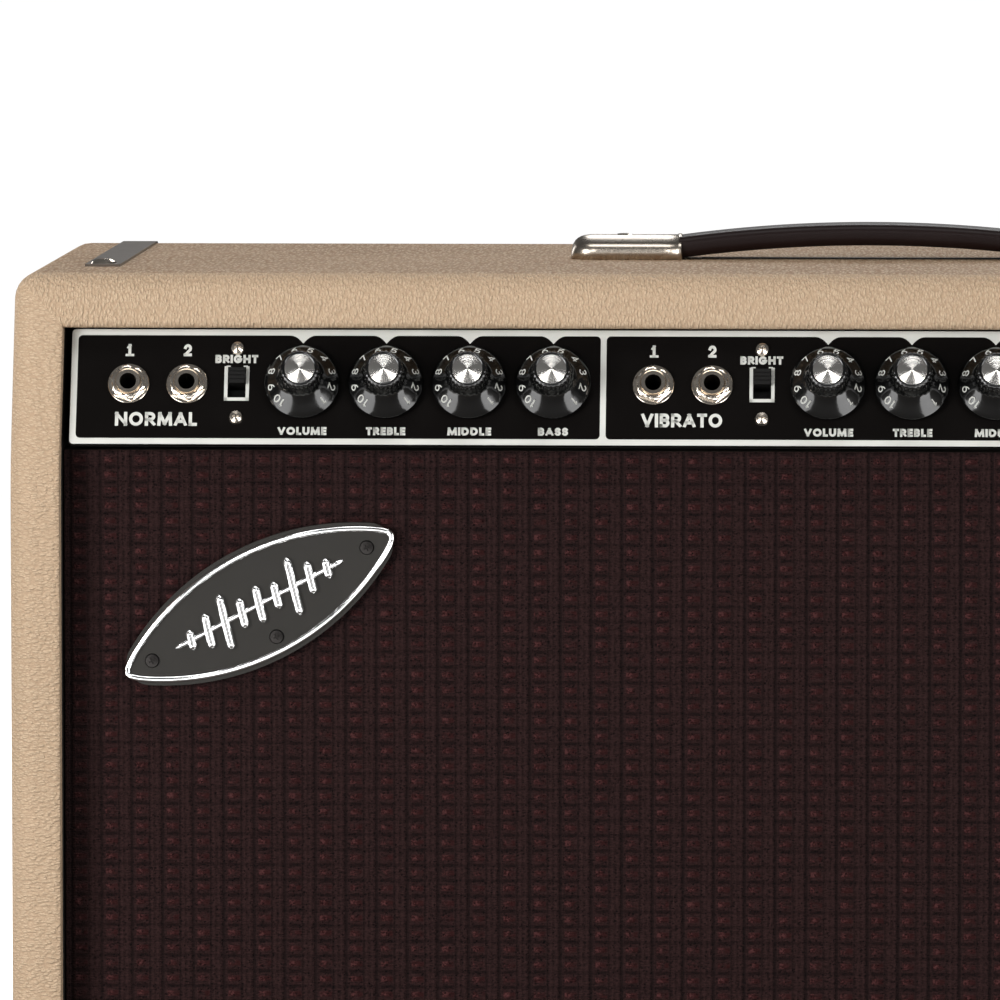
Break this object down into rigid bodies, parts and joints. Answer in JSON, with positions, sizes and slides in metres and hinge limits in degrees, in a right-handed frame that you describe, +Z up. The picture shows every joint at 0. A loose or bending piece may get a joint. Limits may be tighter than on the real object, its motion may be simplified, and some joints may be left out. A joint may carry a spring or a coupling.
{
  "type": "guitar amplifier",
  "caption": "Open-back combo guitar amplifier: vinyl-covered cabinet with sloped control panel, skirted knobs, woven grille cloth, carrying handle and working controls.",
  "frame": {"origin": "centre of the footprint, on the surface that the feet stand on", "axes": "+X to the right of a person facing the control panel, +Y from the panel towards the open back, +Z up"},
  "size_m": [0.676, 0.2728, 0.5196],
  "materials": {
    "blonde_vinyl": "pebbled vinyl glued over board",
    "black_board": "black stained plywood",
    "oxblood_cloth": "woven grille cloth",
    "plated_steel": "zinc plated sheet",
    "black_panel": "satin black with white printed lines",
    "black_knob": "moulded gloss black with white numerals",
    "nickel": "warm nickel plate",
    "black_plastic": "moulded black",
    "red_jewel": "faceted red",
    "handle_rubber": "smooth dark brown",
    "dark_chrome": "bright plated strip",
    "bright_chrome": "polished chrome",
    "black_steel": "blackened steel",
    "basket_paint": "grey hammered paint",
    "magnet_grey": "painted ferrite magnet",
    "paper_cone": "ribbed paper",
    "tube_glass": "clear glass",
    "bare_aluminium": "bare",
    "tank_grey": "grey",
    "board_eyelet": "black fibre board",
    "foot_rubber": "black rubber"
  },
  "bodies": {
    "root": {"ac_inlet": "black_plastic", "badge_ornament": "bright_chrome", "badge_plate": "black_plastic", "badge_screws": "black_steel", "baffle_board": "black_board", "black_screws_and_bolts": "black_steel", "cabinet_bottom": "blonde_vinyl", "cabinet_side_left": "blonde_vinyl", "cabinet_side_right": "blonde_vinyl", "cabinet_top": "blonde_vinyl", "chassis": "plated_steel", "chassis_straps": "dark_chrome", "circuit_board": "board_eyelet", "cleats": "black_board", "faceplate": "black_panel", "feet": "foot_rubber", "fuse_holder": "black_plastic", "grille_cloth": "oxblood_cloth", "handle_caps": "nickel", "handle_rub_strip": "black_plastic", "handle_tongues": "plated_steel", "input_jacks": "nickel", "lower_back_panel": "blonde_vinyl", "nuts_and_washers": "nickel", "oval_head_screws": "nickel", "panel_screws": "nickel", "phono_sockets": "nickel", "pilot_bezel": "nickel", "pilot_jewel": "red_jewel", "potentiometers": "plated_steel", "power_tubes": "tube_glass", "preamp_tube_shields": "bare_aluminium", "rear_jacks": "nickel", "reverb_tank": "tank_grey", "slide_switch_bodies": "plated_steel", "speaker_baskets": "basket_paint", "speaker_magnets": "magnet_grey", "speaker_suspensions": "paper_cone", "toggle_bushings": "nickel", "transformers": "basket_paint", "tube_sockets": "black_plastic", "upper_back_panel": "blonde_vinyl"},
    "normal_volume_knob": {"normal_volume_knob": "black_knob"},
    "normal_treble_knob": {"normal_treble_knob": "black_knob"},
    "normal_middle_knob": {"normal_middle_knob": "black_knob"},
    "normal_bass_knob": {"normal_bass_knob": "black_knob"},
    "vibrato_volume_knob": {"vibrato_volume_knob": "black_knob"},
    "vibrato_treble_knob": {"vibrato_treble_knob": "black_knob"},
    "vibrato_middle_knob": {"vibrato_middle_knob": "black_knob"},
    "vibrato_bass_knob": {"vibrato_bass_knob": "black_knob"},
    "reverb_knob": {"reverb_knob": "black_knob"},
    "speed_knob": {"speed_knob": "black_knob"},
    "intensity_knob": {"intensity_knob": "black_knob"},
    "normal_bright_slider": {"normal_bright_slider": "black_plastic"},
    "vibrato_bright_slider": {"vibrato_bright_slider": "black_plastic"},
    "power_toggle": {"power_toggle": "nickel"},
    "standby_toggle": {"standby_toggle": "nickel"},
    "handle_strap": {"handle_strap": "handle_rubber"},
    "speaker_cone_left": {"speaker_cone_left": "paper_cone"},
    "speaker_cone_right": {"speaker_cone_right": "paper_cone"}
  },
  "joints": [
    {"name": "normal_volume_turn", "type": "hinge", "parent": "root", "child": "normal_volume_knob", "pos_m": [-0.2233, -0.11617, 0.46234], "axis": [0, -0.9272, 0.3746], "range_deg": [-150, 150]},
    {"name": "normal_treble_turn", "type": "hinge", "parent": "root", "child": "normal_treble_knob", "pos_m": [-0.1904, -0.11617, 0.46234], "axis": [0, -0.9272, 0.3746], "range_deg": [-150, 150]},
    {"name": "normal_middle_turn", "type": "hinge", "parent": "root", "child": "normal_middle_knob", "pos_m": [-0.1575, -0.11617, 0.46234], "axis": [0, -0.9272, 0.3746], "range_deg": [-150, 150]},
    {"name": "normal_bass_turn", "type": "hinge", "parent": "root", "child": "normal_bass_knob", "pos_m": [-0.1246, -0.11617, 0.46234], "axis": [0, -0.9272, 0.3746], "range_deg": [-150, 150]},
    {"name": "vibrato_volume_turn", "type": "hinge", "parent": "root", "child": "vibrato_volume_knob", "pos_m": [-0.0165, -0.11617, 0.46234], "axis": [0, -0.9272, 0.3746], "range_deg": [-150, 150]},
    {"name": "vibrato_treble_turn", "type": "hinge", "parent": "root", "child": "vibrato_treble_knob", "pos_m": [0.0164, -0.11617, 0.46234], "axis": [0, -0.9272, 0.3746], "range_deg": [-150, 150]},
    {"name": "vibrato_middle_turn", "type": "hinge", "parent": "root", "child": "vibrato_middle_knob", "pos_m": [0.0493, -0.11617, 0.46234], "axis": [0, -0.9272, 0.3746], "range_deg": [-150, 150]},
    {"name": "vibrato_bass_turn", "type": "hinge", "parent": "root", "child": "vibrato_bass_knob", "pos_m": [0.0822, -0.11617, 0.46234], "axis": [0, -0.9272, 0.3746], "range_deg": [-150, 150]},
    {"name": "reverb_turn", "type": "hinge", "parent": "root", "child": "reverb_knob", "pos_m": [0.1151, -0.11617, 0.46234], "axis": [0, -0.9272, 0.3746], "range_deg": [-150, 150]},
    {"name": "speed_turn", "type": "hinge", "parent": "root", "child": "speed_knob", "pos_m": [0.148, -0.11617, 0.46234], "axis": [0, -0.9272, 0.3746], "range_deg": [-150, 150]},
    {"name": "intensity_turn", "type": "hinge", "parent": "root", "child": "intensity_knob", "pos_m": [0.1809, -0.11617, 0.46234], "axis": [0, -0.9272, 0.3746], "range_deg": [-150, 150]},
    {"name": "normal_bright_slide", "type": "slide", "parent": "root", "child": "normal_bright_slider", "axis": [0, 0.3746, 0.9272], "range_m": [-0.005, 0]},
    {"name": "vibrato_bright_slide", "type": "slide", "parent": "root", "child": "vibrato_bright_slider", "axis": [0, 0.3746, 0.9272], "range_m": [-0.005, 0]},
    {"name": "power_toggle_tilt", "type": "hinge", "parent": "root", "child": "power_toggle", "pos_m": [0.175, 0.11474, 0.4613], "axis": [1, 0, 0], "range_deg": [0, 24]},
    {"name": "standby_toggle_tilt", "type": "hinge", "parent": "root", "child": "standby_toggle", "pos_m": [0.14, 0.11474, 0.4613], "axis": [1, 0, 0], "range_deg": [0, 24]},
    {"name": "handle_lift", "type": "slide", "parent": "root", "child": "handle_strap", "axis": [0, 0, 1], "range_m": [0, 0.015]},
    {"name": "left_cone_travel", "type": "slide", "parent": "root", "child": "speaker_cone_left", "axis": [0, 1, 0], "range_m": [-0.0025, 0.0025], "stiffness_N_per_m": 4000},
    {"name": "right_cone_travel", "type": "slide", "parent": "root", "child": "speaker_cone_right", "axis": [0, 1, 0], "range_m": [-0.0025, 0.0025], "stiffness_N_per_m": 4000}
  ]
}
